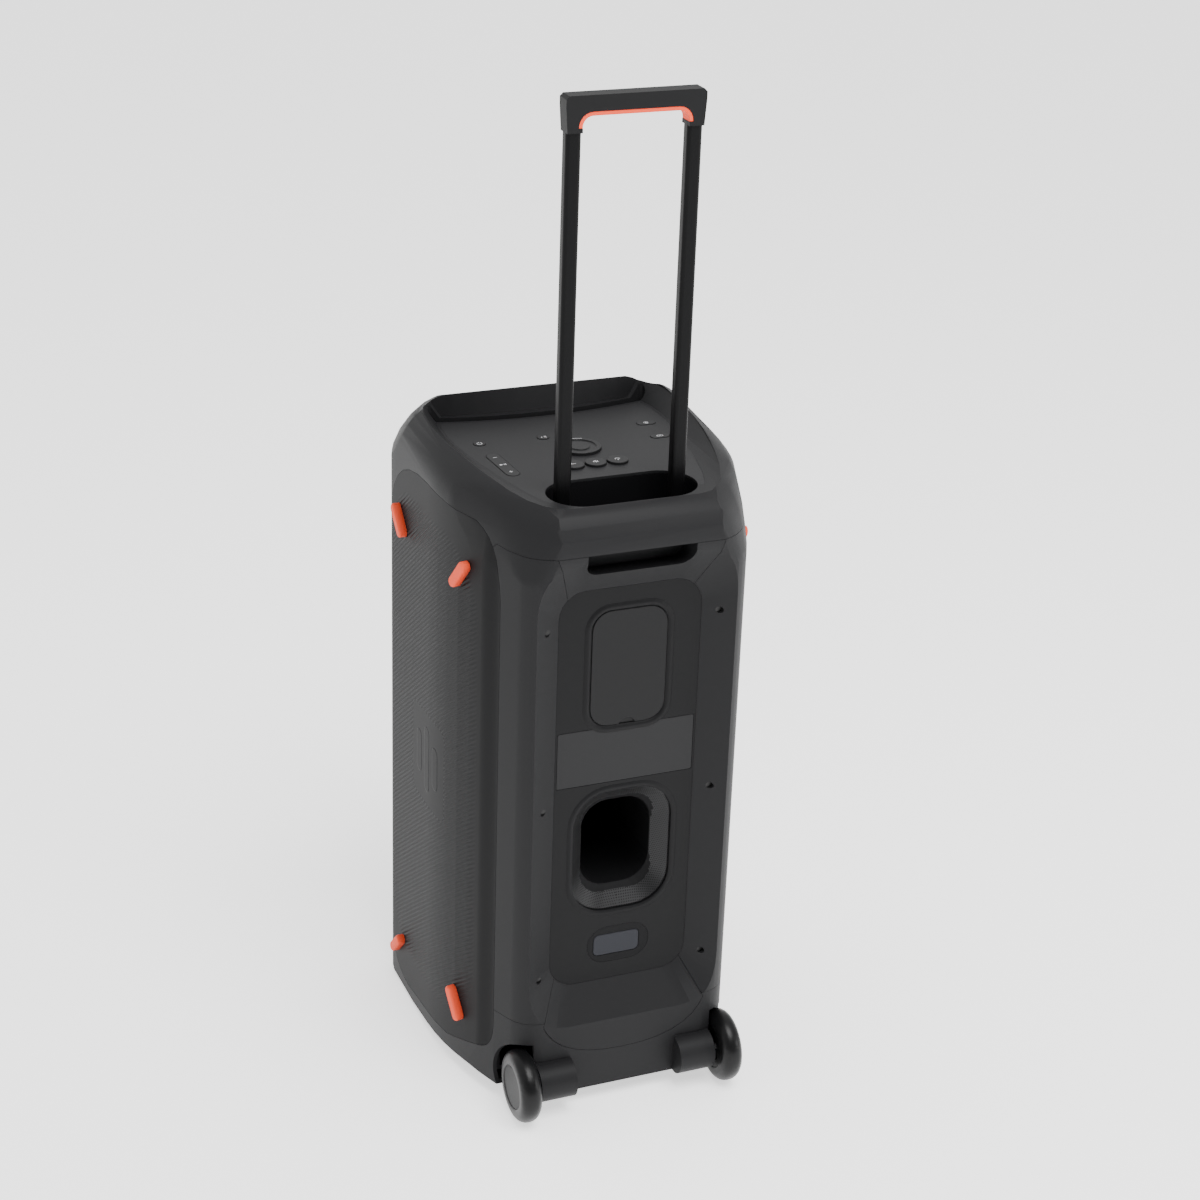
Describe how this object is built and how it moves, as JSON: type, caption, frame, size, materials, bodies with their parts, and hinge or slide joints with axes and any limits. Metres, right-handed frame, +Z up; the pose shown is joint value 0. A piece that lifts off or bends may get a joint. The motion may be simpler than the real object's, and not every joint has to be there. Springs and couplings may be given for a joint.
{
  "type": "party speaker",
  "caption": "Upright moulded party speaker on two rear wheels, with a pull-out trolley handle, a top control deck, a rear bass port and ribbed sides with coral pads.",
  "frame": {"origin": "centre of the footprint, on the floor", "axes": "+Z up, +Y out of the back of the speaker, +X to the speaker's own left"},
  "size_m": [0.326, 0.367, 1.0445],
  "materials": {
    "body_charcoal": "fine grain matt moulding",
    "panel_ribbed": "matt moulding with fine diagonal ribs",
    "deck_matte": "satin top plate",
    "rear_matte": "fine grain matt moulding",
    "inner_moulding": "plain moulding",
    "well_black": "plain matt moulding",
    "grille_metal": "black powder coat, perforated",
    "light_diffuser": "milky diffuser",
    "basket_steel": "black pressed steel",
    "cone_paper": "pulp cone with rubber surround",
    "magnet_ferrite": "bare ferrite",
    "tweeter_black": "black horn flare",
    "circuit_board": "green solder mask",
    "battery_sleeve": "shrink sleeve",
    "coral_rubber": "soft coral rubber",
    "black_rubber": "soft black rubber",
    "jack_metal": "nickel plated",
    "label_film": "blank film",
    "zinc_steel": "zinc plated",
    "pole_black": "black anodised tube",
    "grip_moulding": "fine grain matt moulding",
    "wheel_tread": "smooth hard rubber",
    "hub_gloss": "polished moulding",
    "key_plastic": "satin key"
  },
  "bodies": {
    "cabinet": {"cabinet_shell": "inner_moulding", "front_frame": "body_charcoal", "front_grille": "grille_metal", "baffle": "inner_moulding", "light_ring_upper": "light_diffuser", "light_ring_lower": "light_diffuser", "woofer_basket_upper": "basket_steel", "woofer_basket_lower": "basket_steel", "woofer_cone_upper": "cone_paper", "woofer_cone_lower": "cone_paper", "woofer_magnet_upper": "magnet_ferrite", "woofer_magnet_lower": "magnet_ferrite", "tweeter_left": "tweeter_black", "tweeter_right": "tweeter_black", "top_cap": "body_charcoal", "control_deck": "deck_matte", "control_board": "circuit_board", "handle_well": "well_black", "pole_sleeve_left": "inner_moulding", "pole_sleeve_right": "inner_moulding", "side_panel_left": "panel_ribbed", "side_panel_right": "panel_ribbed", "side_feet_left": "coral_rubber", "side_feet_right": "coral_rubber", "rear_rail_left": "body_charcoal", "rear_rail_right": "body_charcoal", "rear_beam": "body_charcoal", "rear_apron": "body_charcoal", "rear_panel": "rear_matte", "jack_plate": "inner_moulding", "jack_sockets": "jack_metal", "bass_port": "inner_moulding", "port_mesh": "grille_metal", "inlet_socket": "inner_moulding", "rating_label": "label_film", "bottom_shell": "body_charcoal", "front_feet": "black_rubber", "wheel_axles": "zinc_steel", "battery_pack": "battery_sleeve", "amplifier_board": "circuit_board", "power_supply": "circuit_board", "case_screws": "zinc_steel"},
    "handle": {"handle_poles": "pole_black", "handle_grip": "grip_moulding", "grip_liner": "coral_rubber"},
    "wheel_left": {"wheel_tyre_left": "wheel_tread", "wheel_hub_left": "hub_gloss"},
    "wheel_right": {"wheel_tyre_right": "wheel_tread", "wheel_hub_right": "hub_gloss"},
    "port_door": {"port_cover": "black_rubber"},
    "inlet_door": {"inlet_cover": "black_rubber"},
    "dial": {"volume_dial": "key_plastic"},
    "effect_key_left": {"key_left": "key_plastic"},
    "effect_key_middle": {"key_middle": "key_plastic"},
    "effect_key_right": {"key_right": "key_plastic"},
    "power_key": {"power_button": "key_plastic"},
    "pairing_key": {"pairing_button": "key_plastic"},
    "light_key": {"light_button": "key_plastic"},
    "link_key": {"link_button": "key_plastic"},
    "function_key": {"function_bar": "key_plastic"}
  },
  "joints": [
    {"name": "handle_slide", "type": "slide", "parent": "cabinet", "child": "handle", "axis": [0, 0, 1], "range_m": [-0.382, 0]},
    {"name": "wheel_left_spin", "type": "hinge", "parent": "cabinet", "child": "wheel_left", "pos_m": [0.112, 0.1453, 0.0382], "axis": [1, 0, 0], "continuous": true},
    {"name": "wheel_right_spin", "type": "hinge", "parent": "cabinet", "child": "wheel_right", "pos_m": [-0.112, 0.1453, 0.0382], "axis": [1, 0, 0], "continuous": true},
    {"name": "port_door_hinge", "type": "hinge", "parent": "cabinet", "child": "port_door", "pos_m": [0, 0.1201, 0.5502], "axis": [1, 0, 0], "range_deg": [0, 110]},
    {"name": "inlet_door_hinge", "type": "hinge", "parent": "cabinet", "child": "inlet_door", "pos_m": [0.0272, 0.1197, 0.172], "axis": [0, 0, -1], "range_deg": [0, 110]},
    {"name": "dial_turn", "type": "hinge", "parent": "cabinet", "child": "dial", "pos_m": [0, -0.027, 0.662], "axis": [0, 0, 1], "continuous": true},
    {"name": "effect_key_left_press", "type": "slide", "parent": "cabinet", "child": "effect_key_left", "axis": [0, 0, 1], "range_m": [-0.001, 0], "stiffness_N_per_m": 300, "springref_m": 0.0005},
    {"name": "effect_key_middle_press", "type": "slide", "parent": "cabinet", "child": "effect_key_middle", "axis": [0, 0, 1], "range_m": [-0.001, 0], "stiffness_N_per_m": 300, "springref_m": 0.0005},
    {"name": "effect_key_right_press", "type": "slide", "parent": "cabinet", "child": "effect_key_right", "axis": [0, 0, 1], "range_m": [-0.001, 0], "stiffness_N_per_m": 300, "springref_m": 0.0005},
    {"name": "power_key_press", "type": "slide", "parent": "cabinet", "child": "power_key", "axis": [0, 0, 1], "range_m": [-0.001, 0], "stiffness_N_per_m": 200, "springref_m": 0.0005},
    {"name": "pairing_key_press", "type": "slide", "parent": "cabinet", "child": "pairing_key", "axis": [0, 0, 1], "range_m": [-0.001, 0], "stiffness_N_per_m": 200, "springref_m": 0.0005},
    {"name": "light_key_press", "type": "slide", "parent": "cabinet", "child": "light_key", "axis": [0, 0, 1], "range_m": [-0.001, 0], "stiffness_N_per_m": 200, "springref_m": 0.0005},
    {"name": "link_key_press", "type": "slide", "parent": "cabinet", "child": "link_key", "axis": [0, 0, 1], "range_m": [-0.001, 0], "stiffness_N_per_m": 200, "springref_m": 0.0005},
    {"name": "function_key_press", "type": "slide", "parent": "cabinet", "child": "function_key", "axis": [0, 0, 1], "range_m": [-0.001, 0], "stiffness_N_per_m": 300, "springref_m": 0.0005}
  ]
}
